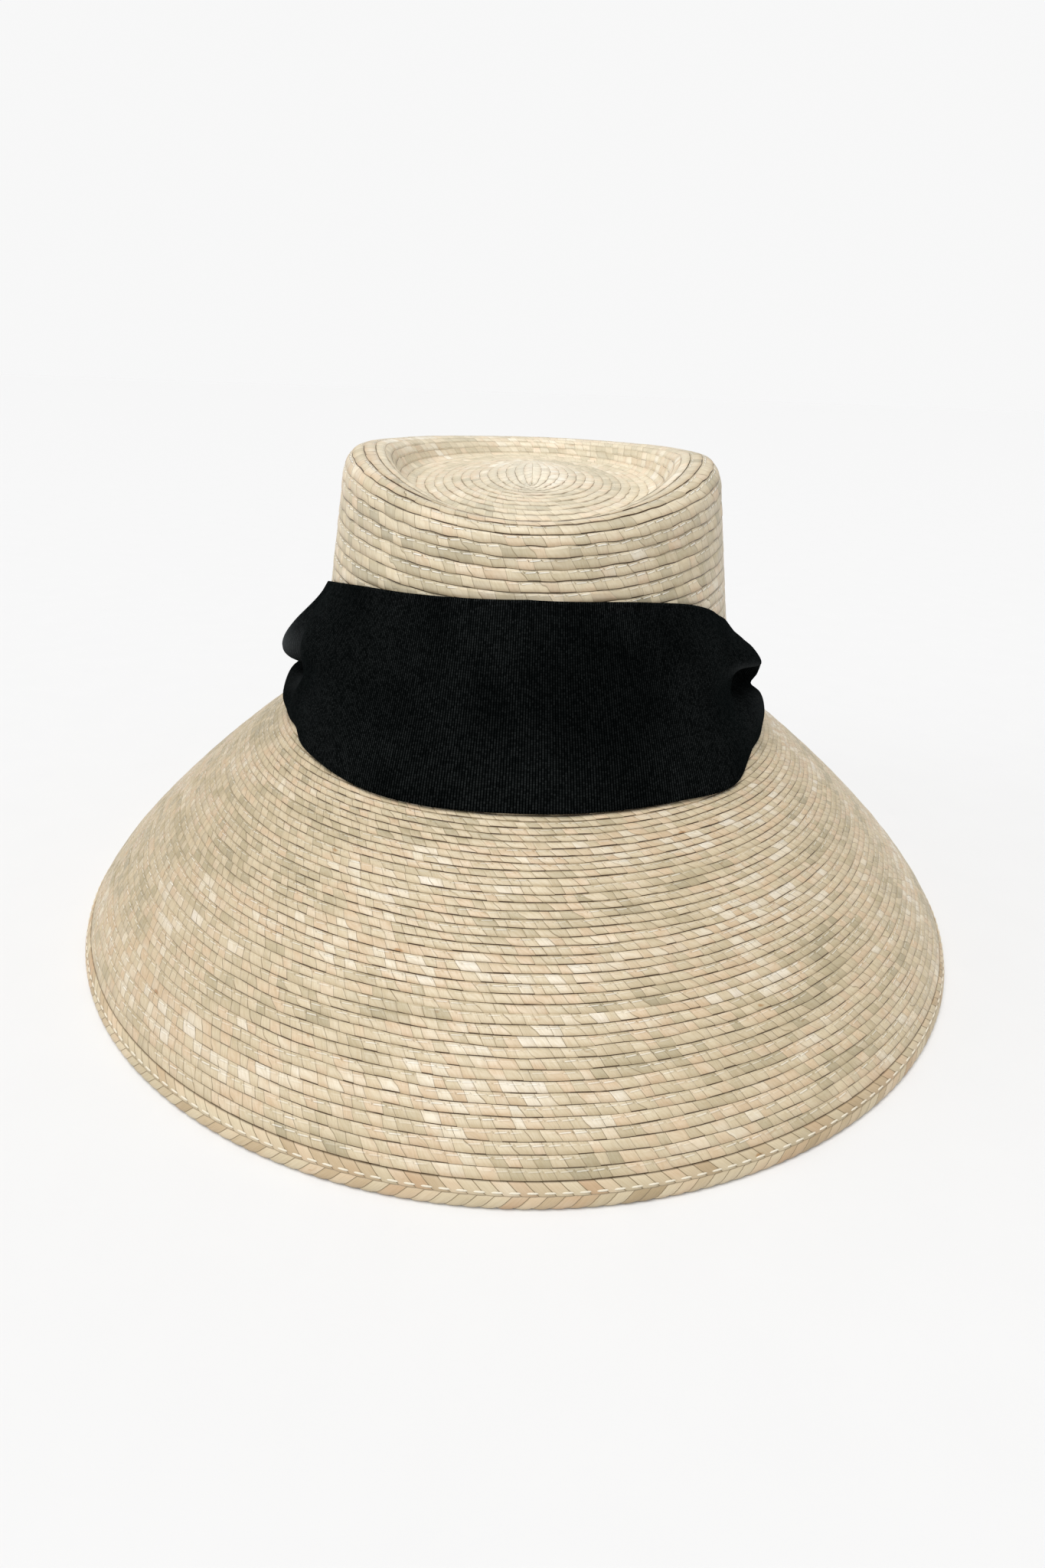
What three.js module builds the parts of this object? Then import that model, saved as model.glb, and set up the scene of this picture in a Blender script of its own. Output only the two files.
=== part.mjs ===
// Wide-brimmed sun hat sewn from palm-leaf braid, with a black ribbon sash tied in a bow behind.
// Millimetres, +Z up. The hat stands on its brim edge at z = 0, its front faces -Y, and the
// origin is the middle of the brim edge's plane.
import * as THREE from 'three';
import { mergeVertices } from 'three/addons/utils/BufferGeometryUtils.js';

// ---- driving dimensions ----
const HEAD_OVALITY = 14;        // the head oval is this much longer than wide, on each half
const BRIM_STRETCH = 6;         // further half length that the brim gains from root to edge
const STRAW_THICKNESS = 1.6;    // two overlapping layers of braid, sewn together
const SEAM_GAP = 0.3;           // air between pieces that touch

const CREST_RADIUS = 62;        // half width at the highest line of the crown's rim
const CREST_HEIGHT = 187.7;
const TIP_HEIGHT = 179.6;       // middle of the raised button inside the rim
const TIP_TILT = 0.1;           // slope of the button, which falls towards the front
const TIP_TILT_ENDS = [46, 60]; // half widths between which that slope dies out
const TIP_DIP_SPREAD = 6;       // how late the button starts to follow the rim's dip
const RIM_FOOT = 176;           // height at which the inner side of the rim starts to rise
const RIM_DIP_LATENESS = 1.45;  // how late the inner side of the rim takes up the rest of the dip
const FRONT_DIP = 19.4;         // how far the rim drops at the front
const FRONT_DIP_SHARPNESS = 1.65;
const WALL_DIP_FADE = 1.6;      // how fast the dip fades down the wall

const WALL_TOP = [75.3, 173.5]; // half width and height where the rim's shoulder ends
const WALL_SHOULDER = [[71, 188.2], [74.5, 184]];
const WALL_FOOT = [85.4, 105.8];
const ROOT_CORNER = [87.3, 93];
const BRIM_ROOT = [97.5, 86];   // half width and height where the brim leaves the crown
const BRIM_EDGE_RADIUS = 185.5;
const EDGE_BRAID_WIDTH = 8;

const SASH_THICKNESS = 1;
const SWEATBAND_THICKNESS = 1;
const SWEATBAND_GAP = 1.2;      // room that the front dip of the wall takes up
const SWEATBAND_BOTTOM = 96;
const SWEATBAND_TOP = 124;

const AROUND = 48;              // facets round the head

// ---- materials ----
const straw = new THREE.MeshStandardMaterial({ color: 0xd9cdb4, roughness: 0.55, metalness: 0 });
const ribbon = new THREE.MeshStandardMaterial({ color: 0x08090b, roughness: 0.62, metalness: 0 });
const cotton = new THREE.MeshStandardMaterial({ color: 0xe6dfcf, roughness: 0.9, metalness: 0 });
const thread = new THREE.MeshStandardMaterial({ color: 0xf2eee4, roughness: 0.7, metalness: 0 });
const blackThread = new THREE.MeshStandardMaterial({ color: 0x0b0c0d, roughness: 0.7, metalness: 0 });

// ---- the oval that every ring of the hat follows ----
const angles = Array.from({ length: AROUND }, (_, i) => (2 * Math.PI * i) / AROUND);
const BACK = Math.PI / 2;

function frontness(angle) {
  return Math.max(0, -Math.sin(angle)) ** FRONT_DIP_SHARPNESS;
}

/** A point of the hat from its half width, height, share of the front dip, tilt and extra half length. */
function onOval({ r, z, dip = 0, tilt = 0, stretch = 0 }, angle) {
  const y = (r + HEAD_OVALITY + stretch) * Math.sin(angle);
  return new THREE.Vector3(
    r * Math.cos(angle), y, z - FRONT_DIP * dip * frontness(angle) + tilt * y);
}

// ---- profiles: half width against height ----
const vec = ([x, y]) => new THREE.Vector2(x, y);

function chain(...curves) {
  const path = new THREE.CurvePath();
  curves.forEach((curve) => path.add(curve));
  return path;
}

const tipProfile = chain(
  new THREE.CubicBezierCurve(
    vec([0, TIP_HEIGHT]), vec([12, 178.2]), vec([30, 175.2]), vec([43, 174.2])),
  new THREE.QuadraticBezierCurve(vec([43, 174.2]), vec([47.5, 173.9]), vec([51, 176])),
  new THREE.CubicBezierCurve(
    vec([51, 176]), vec([55, 179]), vec([54, CREST_HEIGHT]), vec([CREST_RADIUS, CREST_HEIGHT])),
);
const wallProfile = chain(
  new THREE.CubicBezierCurve(
    vec([CREST_RADIUS, CREST_HEIGHT]), ...WALL_SHOULDER.map(vec), vec(WALL_TOP)),
  new THREE.LineCurve(vec(WALL_TOP), vec(WALL_FOOT)),
  new THREE.QuadraticBezierCurve(vec(WALL_FOOT), vec(ROOT_CORNER), vec(BRIM_ROOT)),
);
const brimProfile = new THREE.CubicBezierCurve(
  vec(BRIM_ROOT), vec([132, 63.5]), vec([BRIM_EDGE_RADIUS, 15.5]), vec([BRIM_EDGE_RADIUS, 0]));

/** The button follows the dip by its width, and the inner side of the rim also by its height. */
function tipDip({ r, z }) {
  const onButton = (r / CREST_RADIUS) ** TIP_DIP_SPREAD;
  const climb = THREE.MathUtils.clamp((z - RIM_FOOT) / (CREST_HEIGHT - RIM_FOOT), 0, 1);
  return onButton + (1 - onButton) * climb ** RIM_DIP_LATENESS;
}

const wallDip = ({ share }) => (1 - share) ** WALL_DIP_FADE;
const noDip = () => 0;
const tipTilt = (r) => TIP_TILT * (1 - THREE.MathUtils.smoothstep(r, ...TIP_TILT_ENDS));
const level = () => 0;

/**
 * Points of a profile between two shares of its length, pushed off it by `offset` on its outside.
 * A `crowding` above 1 sets them closer together at the start.
 */
function strip(
  profile, from, to, steps, offset, dipOf, { stretchOf = () => 0, tiltOf = level, crowding = 1 } = {},
) {
  return Array.from({ length: steps + 1 }, (_, i) => {
    const share = from + (to - from) * (i / steps) ** crowding;
    const p = profile.getPointAt(share);
    const t = profile.getTangentAt(share);
    return {
      r: Math.max(0.01, p.x - t.y * offset),
      z: p.y + t.x * offset,
      dip: dipOf({ share, r: p.x, z: p.y }),
      tilt: tiltOf(p.x),
      stretch: stretchOf(share),
    };
  });
}

// ---- solids ----
function volumeOf(geometry) {
  const p = geometry.attributes.position;
  const index = geometry.index.array;
  const [a, b, c] = [new THREE.Vector3(), new THREE.Vector3(), new THREE.Vector3()];
  let sum = 0;
  for (let i = 0; i < index.length; i += 3) {
    a.fromBufferAttribute(p, index[i]);
    b.fromBufferAttribute(p, index[i + 1]);
    c.fromBufferAttribute(p, index[i + 2]);
    sum += a.dot(b.cross(c)) / 6;
  }
  return sum;
}

/** A closed geometry from points and triangles, with its faces turned outward. */
function solid(points, triangles) {
  const geometry = new THREE.BufferGeometry().setFromPoints(points);
  geometry.setIndex(triangles.flat());
  if (volumeOf(geometry) < 0) geometry.setIndex(triangles.map(([a, b, c]) => [a, c, b]).flat());
  geometry.computeVertexNormals();
  return geometry;
}

/** Joins closed loops of points, one after another in a ring, into a ring-shaped solid. */
function ringOfLoops(loops) {
  const size = loops[0].length;
  const triangles = [];
  loops.forEach((_, j) => {
    const next = ((j + 1) % loops.length) * size;
    for (let k = 0; k < size; k += 1) {
      const [a, b] = [j * size + k, j * size + ((k + 1) % size)];
      const [c, d] = [next + k, next + ((k + 1) % size)];
      triangles.push([a, b, d], [a, d, c]);
    }
  });
  return solid(loops.flat(), triangles);
}

/** Joins open strings of points in a ring, and closes their two ends with a fan round each pole. */
function ringWithPoles(strings, firstPole, lastPole) {
  const size = strings[0].length;
  const count = strings.length;
  const [top, bottom] = [count * size, count * size + 1];
  const triangles = [];
  strings.forEach((_, j) => {
    const next = ((j + 1) % count) * size;
    for (let k = 0; k < size - 1; k += 1) {
      const [a, b, c, d] = [j * size + k, j * size + k + 1, next + k, next + k + 1];
      triangles.push([a, b, d], [a, d, c]);
    }
    triangles.push([top, j * size, next]);
    triangles.push([bottom, next + size - 1, j * size + size - 1]);
  });
  return solid([...strings.flat(), firstPole, lastPole], triangles);
}

/** Joins closed loops in a row, and closes the first and last with a fan. */
function rowOfLoops(loops) {
  const size = loops[0].length;
  const points = loops.flat();
  const triangles = [];
  for (let j = 0; j < loops.length - 1; j += 1) {
    for (let k = 0; k < size; k += 1) {
      const [a, b] = [j * size + k, j * size + ((k + 1) % size)];
      triangles.push([a, b, b + size], [a, b + size, a + size]);
    }
  }
  const last = (loops.length - 1) * size;
  for (let k = 1; k < size - 1; k += 1) {
    triangles.push([0, k + 1, k], [last, last + k, last + k + 1]);
  }
  return solid(points, triangles);
}

/** Merges the doubled corners of a built-in shape, so that it is one closed body. */
function weld(geometry) {
  geometry.deleteAttribute('normal');
  geometry.deleteAttribute('uv');
  const merged = mergeVertices(geometry, 1e-4);
  const triangles = [];
  for (let i = 0; i < merged.index.count; i += 3) {
    triangles.push([0, 1, 2].map((k) => merged.index.getX(i + k)));
  }
  const corners = Array.from({ length: merged.attributes.position.count }, (_, i) =>
    new THREE.Vector3().fromBufferAttribute(merged.attributes.position, i));
  return solid(corners, triangles);
}

/** A ring round the whole hat, from its section's outside and inside lines. */
function ovalRing(outside, inside) {
  const section = [...outside, ...inside.slice().reverse()];
  return ringOfLoops(angles.map((angle) => section.map((p) => onOval(p, angle))));
}

const hat = new THREE.Group();

function addPiece(name, geometry, material) {
  const mesh = new THREE.Mesh(geometry, material);
  mesh.name = name;
  hat.add(mesh);
  return mesh;
}

// ---- straw body: button and groove of the crown, its wall, the brim and the edge braid ----
const tipLength = tipProfile.getLength();
const wallLength = wallProfile.getLength();
const brimLength = brimProfile.getLength();
const halfGap = SEAM_GAP / 2;

function crownTip() {
  const FIRST_RING = 0.05;
  const end = 1 - halfGap / tipLength;
  const tilted = { tiltOf: tipTilt };
  const outside = strip(tipProfile, FIRST_RING, end, 12, 0, tipDip, tilted);
  const inside = strip(tipProfile, FIRST_RING, end, 12, -STRAW_THICKNESS, tipDip, tilted).reverse();
  const strings = angles.map((angle) => [...outside, ...inside].map((p) => onOval(p, angle)));
  const poles = [TIP_HEIGHT, TIP_HEIGHT - STRAW_THICKNESS].map((z) => new THREE.Vector3(0, 0, z));
  return ringWithPoles(strings, ...poles);
}

function crownWall() {
  const [from, to] = [halfGap / wallLength, 1 - halfGap / wallLength];
  return ovalRing(
    strip(wallProfile, from, to, 10, 0, wallDip, { crowding: 1.7 }),
    strip(wallProfile, from, to, 10, -STRAW_THICKNESS, wallDip, { crowding: 1.7 }),
  );
}

const brimShape = { stretchOf: (share) => BRIM_STRETCH * share };

function brimRing(from, to, steps) {
  return ovalRing(
    strip(brimProfile, from, to, steps, 0, noDip, brimShape),
    strip(brimProfile, from, to, steps, -STRAW_THICKNESS, noDip, brimShape),
  );
}

const edgeStart = 1 - EDGE_BRAID_WIDTH / brimLength;

addPiece('crown_tip', crownTip(), straw);
addPiece('crown_wall', crownWall(), straw);
addPiece('brim', brimRing(halfGap / brimLength, edgeStart - halfGap / brimLength, 7), straw);
addPiece('brim_edge_braid', brimRing(edgeStart + halfGap / brimLength, 1, 2), straw);

// ---- the line of thread that runs round the edge braid ----
const EDGE_THREAD_WIDTH = 0.8;

function edgeThread() {
  const middle = edgeStart + (1 - edgeStart) * 0.38;
  const reach = EDGE_THREAD_WIDTH / 2 / brimLength;
  const at = (share, offset) => strip(brimProfile, share, share, 1, offset, noDip, brimShape)[0];
  const section = [
    at(middle, SEAM_GAP),
    at(middle + reach, SEAM_GAP + EDGE_THREAD_WIDTH / 2),
    at(middle, SEAM_GAP + EDGE_THREAD_WIDTH),
    at(middle - reach, SEAM_GAP + EDGE_THREAD_WIDTH / 2),
  ];
  return ringOfLoops(angles.map((angle) => section.map((p) => onOval(p, angle))));
}

addPiece('edge_stitching', edgeThread(), thread);

// ---- sweatband inside the crown, and the tab that joins its ends behind ----
function wallRadiusAt(z) {
  const share = (WALL_TOP[1] - z) / (WALL_TOP[1] - WALL_FOOT[1]);
  return WALL_TOP[0] + (WALL_FOOT[0] - WALL_TOP[0]) * share;
}

const sweatbandOutside = (z) => wallRadiusAt(z) - STRAW_THICKNESS - SWEATBAND_GAP;

function sweatband() {
  const heights = [SWEATBAND_BOTTOM, SWEATBAND_TOP];
  return ovalRing(
    heights.map((z) => ({ r: sweatbandOutside(z), z })),
    heights.map((z) => ({ r: sweatbandOutside(z) - SWEATBAND_THICKNESS, z })),
  );
}

const JOIN_HALF_ANGLE = 0.07;
const JOIN_THICKNESS = 0.7;

function sweatbandJoin() {
  const layers = [SWEATBAND_THICKNESS + SEAM_GAP, SWEATBAND_THICKNESS + SEAM_GAP + JOIN_THICKNESS];
  const section = [
    [SWEATBAND_BOTTOM + 1, layers[0]], [SWEATBAND_TOP - 1, layers[0]],
    [SWEATBAND_TOP - 1, layers[1]], [SWEATBAND_BOTTOM + 1, layers[1]],
  ].map(([z, depth]) => ({ r: sweatbandOutside(z) - depth, z }));
  const ends = [BACK - JOIN_HALF_ANGLE, BACK, BACK + JOIN_HALF_ANGLE];
  return rowOfLoops(ends.map((angle) => section.map((p) => onOval(p, angle))));
}

addPiece('sweatband', sweatband(), cotton);
addPiece('sweatband_join', sweatbandJoin(), cotton);

// ---- ribbon sash ----
// Half width and height of the ribbon's face from its top edge down, at four places round the head:
// a smooth flared panel in front, two lobes with a pinch between them at each side, and a gathered
// band behind.
const SASH_FRONT = [[80.8, 146], [86.6, 129.5], [93.4, 112.5], [100.6, 95.5], [106.8, 81.6]];
const SASH_SIDE = [[84.2, 125], [101.0, 110], [91.5, 100.8], [104.8, 87.0], [101.5, 86.2]];
const SASH_BACK = [[85.2, 118.5], [86.5, 113], [87.5, 107], [89.0, 101], [91.6, 96]];
const FRONT_ENDS = THREE.MathUtils.degToRad(40);
const SIDE_STARTS = THREE.MathUtils.degToRad(76);
const SIDE_ENDS = THREE.MathUtils.degToRad(104);
const BACK_STARTS = THREE.MathUtils.degToRad(150);
const SASH_STEPS = 8;

/** The ribbon's face at one place round the head, as points from its top edge down. */
function sashLine(angle) {
  const fromFront = Math.acos(THREE.MathUtils.clamp(-Math.sin(angle), -1, 1));
  const toSide = THREE.MathUtils.smoothstep(fromFront, FRONT_ENDS, SIDE_STARTS);
  const toBack = THREE.MathUtils.smoothstep(fromFront, SIDE_ENDS, BACK_STARTS);
  const knots = SASH_FRONT.map((front, i) =>
    vec(front).lerp(vec(SASH_SIDE[i]), toSide).lerp(vec(SASH_BACK[i]), toBack));
  return new THREE.SplineCurve(knots);
}

function sashLoop(angle) {
  const line = sashLine(angle);
  const shares = Array.from({ length: SASH_STEPS + 1 }, (_, i) => i / SASH_STEPS);
  const face = (offset) => shares.map((share) => {
    const p = line.getPoint(share);
    const t = line.getTangent(share);
    return { r: p.x - t.y * offset, z: p.y + t.x * offset };
  });
  return [...face(0), ...face(-SASH_THICKNESS).reverse()].map((p) => onOval(p, angle));
}

addPiece('ribbon_sash', ringOfLoops(angles.map(sashLoop)), ribbon);

// ---- bar tacks that hold the pinch at each side ----
const TACK_RADIUS = 0.7;
const TACK_LENGTH = 7;
const TACK_CLEARANCE = 1;

function sashTack(name, angle) {
  const [r, z] = SASH_SIDE[2];
  const geometry = weld(new THREE.CylinderGeometry(TACK_RADIUS, TACK_RADIUS, TACK_LENGTH, 8));
  const tack = addPiece(name, geometry, blackThread);
  tack.position.copy(onOval({ r: r + TACK_RADIUS + TACK_CLEARANCE, z }, angle));
}

sashTack('sash_tack_left', Math.PI);
sashTack('sash_tack_right', 0);

// ---- bow behind: knot, two loops and two tails ----
const KNOT_BOTTOM = 93.5;
const KNOT_HEIGHT = 26;
const KNOT_WIDTH = 24;
const KNOT_NEAR = 105.4;        // how far behind the middle of the hat the knot begins
const KNOT_DEPTH = 12;
const LOOP_LENGTH = 76;
const LOOP_HEIGHT = 50;
const LOOP_DEPTH = 10;
const LOOP_DROOP = 8;
const bowMiddle = KNOT_BOTTOM + KNOT_HEIGHT / 2;

/** A flat outline drawn in the X-Z plane, given depth from `near` towards the back. */
function standingSlab(shape, near, depth, bevel) {
  const geometry = new THREE.ExtrudeGeometry(shape, {
    depth: depth - 2 * bevel, bevelEnabled: bevel > 0, bevelThickness: bevel, bevelSize: bevel,
    bevelOffset: -bevel, bevelSegments: 2, curveSegments: 8,
  });
  geometry.rotateX(Math.PI / 2);
  geometry.translate(0, near + depth - bevel, 0);
  return geometry;
}

function knot() {
  const [w, h] = [KNOT_WIDTH / 2, KNOT_HEIGHT / 2];
  const shape = new THREE.Shape();
  shape.moveTo(w, bowMiddle);
  shape.bezierCurveTo(w, bowMiddle + h * 0.7, w * 0.6, bowMiddle + h, 0, bowMiddle + h);
  shape.bezierCurveTo(-w * 0.6, bowMiddle + h, -w, bowMiddle + h * 0.7, -w, bowMiddle);
  shape.bezierCurveTo(-w, bowMiddle - h * 0.7, -w * 0.6, bowMiddle - h, 0, bowMiddle - h);
  shape.bezierCurveTo(w * 0.6, bowMiddle - h, w, bowMiddle - h * 0.7, w, bowMiddle);
  return standingSlab(shape, KNOT_NEAR, KNOT_DEPTH, 3);
}

function bowLoop(side) {
  const start = KNOT_WIDTH / 2 + SEAM_GAP;
  const x = (share) => side * (start + LOOP_LENGTH * share);
  const half = LOOP_HEIGHT / 2;
  const low = bowMiddle - LOOP_DROOP;
  const shape = new THREE.Shape();
  shape.moveTo(x(0), bowMiddle + 8);
  shape.bezierCurveTo(x(0.3), bowMiddle + 14, x(0.55), low + half + 4, x(0.8), low + half);
  shape.bezierCurveTo(x(1.0), low + half - 4, x(1.0), low - half + 6, x(0.8), low - half);
  shape.bezierCurveTo(x(0.55), low - half, x(0.3), bowMiddle - 14, x(0), bowMiddle - 8);
  shape.closePath();
  return standingSlab(shape, KNOT_NEAR + 1, LOOP_DEPTH, 2);
}

const TAIL_WIDTH = 44;
const TAIL_THICKNESS = 1.2;
const TAIL_LIFT = 1;
const TAIL_STEPS = 7;
const TAIL_ACROSS = 6;

/** A ribbon end lying on the back of the brim, from below the knot outwards and to one side. */
function bowTail(side) {
  const loops = Array.from({ length: TAIL_STEPS + 1 }, (_, i) => {
    const share = i / TAIL_STEPS;
    const along = 0.02 + 0.64 * share;
    const lean = 0.17 + 0.19 * share;
    const halfWidth = (TAIL_WIDTH / 2) * (0.45 + 0.55 * THREE.MathUtils.smoothstep(share, 0, 0.5));
    const across = (offset) => Array.from({ length: TAIL_ACROSS + 1 }, (__, k) => {
      const place = strip(brimProfile, along, along, 1, offset, noDip, brimShape)[0];
      const turn = ((2 * k) / TAIL_ACROSS - 1) * (halfWidth / (place.r + HEAD_OVALITY));
      return onOval(place, BACK - side * lean + turn);
    });
    return [...across(TAIL_LIFT), ...across(TAIL_LIFT + TAIL_THICKNESS).reverse()];
  });
  return rowOfLoops(loops);
}

addPiece('bow_knot', weld(knot()), ribbon);
addPiece('bow_left_loop', weld(bowLoop(-1)), ribbon);
addPiece('bow_right_loop', weld(bowLoop(1)), ribbon);
addPiece('bow_left_tail', bowTail(-1), ribbon);
addPiece('bow_right_tail', bowTail(1), ribbon);

export default hat;
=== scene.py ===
"""Wide-brimmed sun hat sewn from palm-leaf braid, with a black grosgrain sash tied in a bow behind.

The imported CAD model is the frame. Its plain solids are replaced here by rows of shingled braid, real
stitches, a thin folded ribbon with a hollow bow, and a cotton sweatband. Lengths are millimetres up to
the moment a mesh is made. The hat stands on its brim edge, +Z is up and its front faces -Y.
"""
import math

import bpy
import numpy as np
from mathutils import Euler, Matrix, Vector


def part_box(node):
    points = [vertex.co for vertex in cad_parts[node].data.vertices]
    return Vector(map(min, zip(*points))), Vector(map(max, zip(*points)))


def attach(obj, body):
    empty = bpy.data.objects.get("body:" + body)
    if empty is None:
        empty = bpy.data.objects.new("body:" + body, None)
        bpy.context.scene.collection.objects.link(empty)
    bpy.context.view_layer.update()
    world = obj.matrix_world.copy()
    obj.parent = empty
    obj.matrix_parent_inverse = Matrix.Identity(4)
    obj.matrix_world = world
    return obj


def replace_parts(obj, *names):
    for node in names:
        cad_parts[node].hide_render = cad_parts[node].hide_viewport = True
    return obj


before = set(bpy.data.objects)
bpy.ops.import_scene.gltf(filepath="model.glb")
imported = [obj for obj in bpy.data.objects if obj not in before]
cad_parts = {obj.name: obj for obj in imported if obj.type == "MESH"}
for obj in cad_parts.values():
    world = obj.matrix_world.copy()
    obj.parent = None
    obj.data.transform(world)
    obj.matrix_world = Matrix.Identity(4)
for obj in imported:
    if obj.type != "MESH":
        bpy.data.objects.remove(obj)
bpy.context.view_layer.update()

# ---- driving dimensions, from the frame where it has them (mm) ----
MM = 0.001


def node_box(node):
    """Lowest and highest corner of a CAD node, in millimetres."""
    return [np.array(corner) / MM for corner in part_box(node)]


def node_top(node):
    return node_box(node)[1]


TIP_TOP = node_top("crown_tip")
EDGE_TOP = node_top("brim_edge_braid")
CREST_RADIUS = TIP_TOP[0] + 0.1       # half width of the crown's highest line
CREST_HEIGHT = TIP_TOP[2]
HEAD_OVALITY = TIP_TOP[1] - TIP_TOP[0]
BRIM_EDGE_RADIUS = EDGE_TOP[0]
BRIM_STRETCH = EDGE_TOP[1] - EDGE_TOP[0] - HEAD_OVALITY
BRIM_ROOT = (97.5, node_top("brim")[2])

TIP_HEIGHT = 179.6
TIP_TILT = 0.1                        # slope of the button inside the rim, which falls to the front
TIP_TILT_ENDS = (46, 60)
TIP_DIP_SPREAD = 6
RIM_FOOT = 176                        # height at which the inner side of the rim starts to rise
RIM_DIP_LATENESS = 1.45
FRONT_DIP = 19.4
FRONT_DIP_SHARPNESS = 1.65
WALL_DIP_FADE = 1.6
WALL_TOP = (75.3, 173.5)
WALL_FOOT = (85.4, 105.8)
STRAW_THICKNESS = 1.6
EDGE_BRAID_WIDTH = 8

TIP_ROWS = 19
WALL_ROWS = 24
BRIM_ROWS = 42
BRIM_PITCH_GROWTH = 1.45              # rows at the brim's edge are this much taller than at its root

BACK = math.pi / 2
rng = np.random.default_rng(7)


# ---- shape of the hat ----
def eased(t):
    """A value from 0 to 1 that starts and ends gently."""
    return t * t * (3 - 2 * t)


def bezier(*points):
    """Points along a Bezier curve of any degree."""
    t = np.linspace(0, 1, 241)[:, None]
    degree = len(points) - 1
    return sum(
        math.comb(degree, i) * t**i * (1 - t) ** (degree - i) * np.array(point, float)
        for i, point in enumerate(points)
    )


class Profile:
    """A section line of the hat, read by share of its length as half width and height."""

    def __init__(self, *curves):
        points = np.concatenate([curves[0], *[curve[1:] for curve in curves[1:]]])
        run = np.concatenate([[0], np.cumsum(np.hypot(*np.diff(points, axis=0).T))])
        self.length = run[-1]
        self.share = run / run[-1]
        self.points = points
        tangent = np.gradient(points, run, axis=0)
        self.tangent = tangent / np.hypot(*tangent.T)[:, None]

    def read(self, table, share):
        return np.stack([np.interp(share, self.share, column) for column in table.T], -1)

    def at(self, share, rise=0.0):
        """Half width and height at a share of the length, `rise` off the line on its outside."""
        point = self.read(self.points, share)
        tangent = self.read(self.tangent, share)
        rise = np.asarray(rise)
        return point[..., 0] - tangent[..., 1] * rise, point[..., 1] + tangent[..., 0] * rise


tip_profile = Profile(
    bezier((0, TIP_HEIGHT), (12, 178.2), (30, 175.2), (43, 174.2)),
    bezier((43, 174.2), (47.5, 173.9), (51, 176)),
    bezier((51, 176), (55, 179), (54, CREST_HEIGHT), (CREST_RADIUS, CREST_HEIGHT)),
)
wall_profile = Profile(
    bezier((CREST_RADIUS, CREST_HEIGHT), (71, CREST_HEIGHT + 0.5), (74.5, 184), WALL_TOP),
    bezier(WALL_TOP, WALL_FOOT),
    bezier(WALL_FOOT, (87.3, 93), BRIM_ROOT),
)
brim_profile = Profile(
    bezier(BRIM_ROOT, (132, 63.5), (BRIM_EDGE_RADIUS, 15.5), (BRIM_EDGE_RADIUS, 0)),
)
EDGE_START = 1 - EDGE_BRAID_WIDTH / brim_profile.length


def tip_dip(share, radius):
    """The button follows the front dip by its width, and the inner side of the rim also by its height."""
    on_button = (np.maximum(radius, 0) / CREST_RADIUS) ** TIP_DIP_SPREAD
    height = tip_profile.at(share)[1]
    climb = np.clip((height - RIM_FOOT) / (CREST_HEIGHT - RIM_FOOT), 0, 1)
    return on_button + (1 - on_button) * climb ** RIM_DIP_LATENESS


def wall_dip(share, radius):
    return (1 - np.clip(share, 0, 1)) ** WALL_DIP_FADE


def no_dip(share, radius):
    return 0 * share


def tip_tilt(radius):
    start, end = TIP_TILT_ENDS
    t = np.clip((radius - start) / (end - start), 0, 1)
    return TIP_TILT * (1 - eased(t))


def level(radius):
    return 0 * radius


def no_stretch(share):
    return 0 * share


def brim_stretch(share):
    return BRIM_STRETCH * share


def on_oval(radius, height, angle, dip=0.0, stretch=0.0, tilt=0.0):
    """Points of the hat from half width, height and angle round it; the front of the rim dips."""
    frontness = np.maximum(0, -np.sin(angle)) ** FRONT_DIP_SHARPNESS
    y = (radius + HEAD_OVALITY + stretch) * np.sin(angle)
    return np.stack(np.broadcast_arrays(
        radius * np.cos(angle), y, height - FRONT_DIP * dip * frontness + tilt * y), -1)


# ---- meshes ----
def make_piece(name, points, faces, material, uv=None):
    """A mesh piece from points in millimetres, riding on the hat's only body."""
    mesh = bpy.data.meshes.new(name)
    mesh.from_pydata((np.asarray(points) * MM).tolist(), [], np.asarray(faces).tolist())
    if uv is not None:
        mesh.uv_layers.new(name="place")
        mesh.uv_layers["place"].data.foreach_set("uv", np.asarray(uv, np.float32).ravel())
    mesh.polygons.foreach_set("use_smooth", [True] * len(mesh.polygons))
    mesh.materials.append(material)
    piece = bpy.data.objects.new(name, mesh)
    bpy.context.scene.collection.objects.link(piece)
    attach(piece, "root")
    return piece


def signed_volume(points, faces):
    corner = points[faces]
    first = np.cross(corner[:, 1] - corner[:, 0], corner[:, 2] - corner[:, 0])
    second = np.cross(corner[:, 2] - corner[:, 0], corner[:, 3] - corner[:, 0])
    return np.einsum("ij,ij->", corner[:, 0], first) + np.einsum("ij,ij->", corner[:, 0], second)


def ring_faces(columns, size):
    """Quads that join `columns` closed loops of `size` points into a closed ring."""
    column = np.arange(columns)[:, None]
    point = np.arange(size)[None, :]
    after = (column + 1) % columns * size
    up = (point + 1) % size
    corners = [column * size + point, column * size + up, after + up, after + point]
    return np.stack(np.broadcast_arrays(*corners), -1).reshape(-1, 4)


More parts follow.
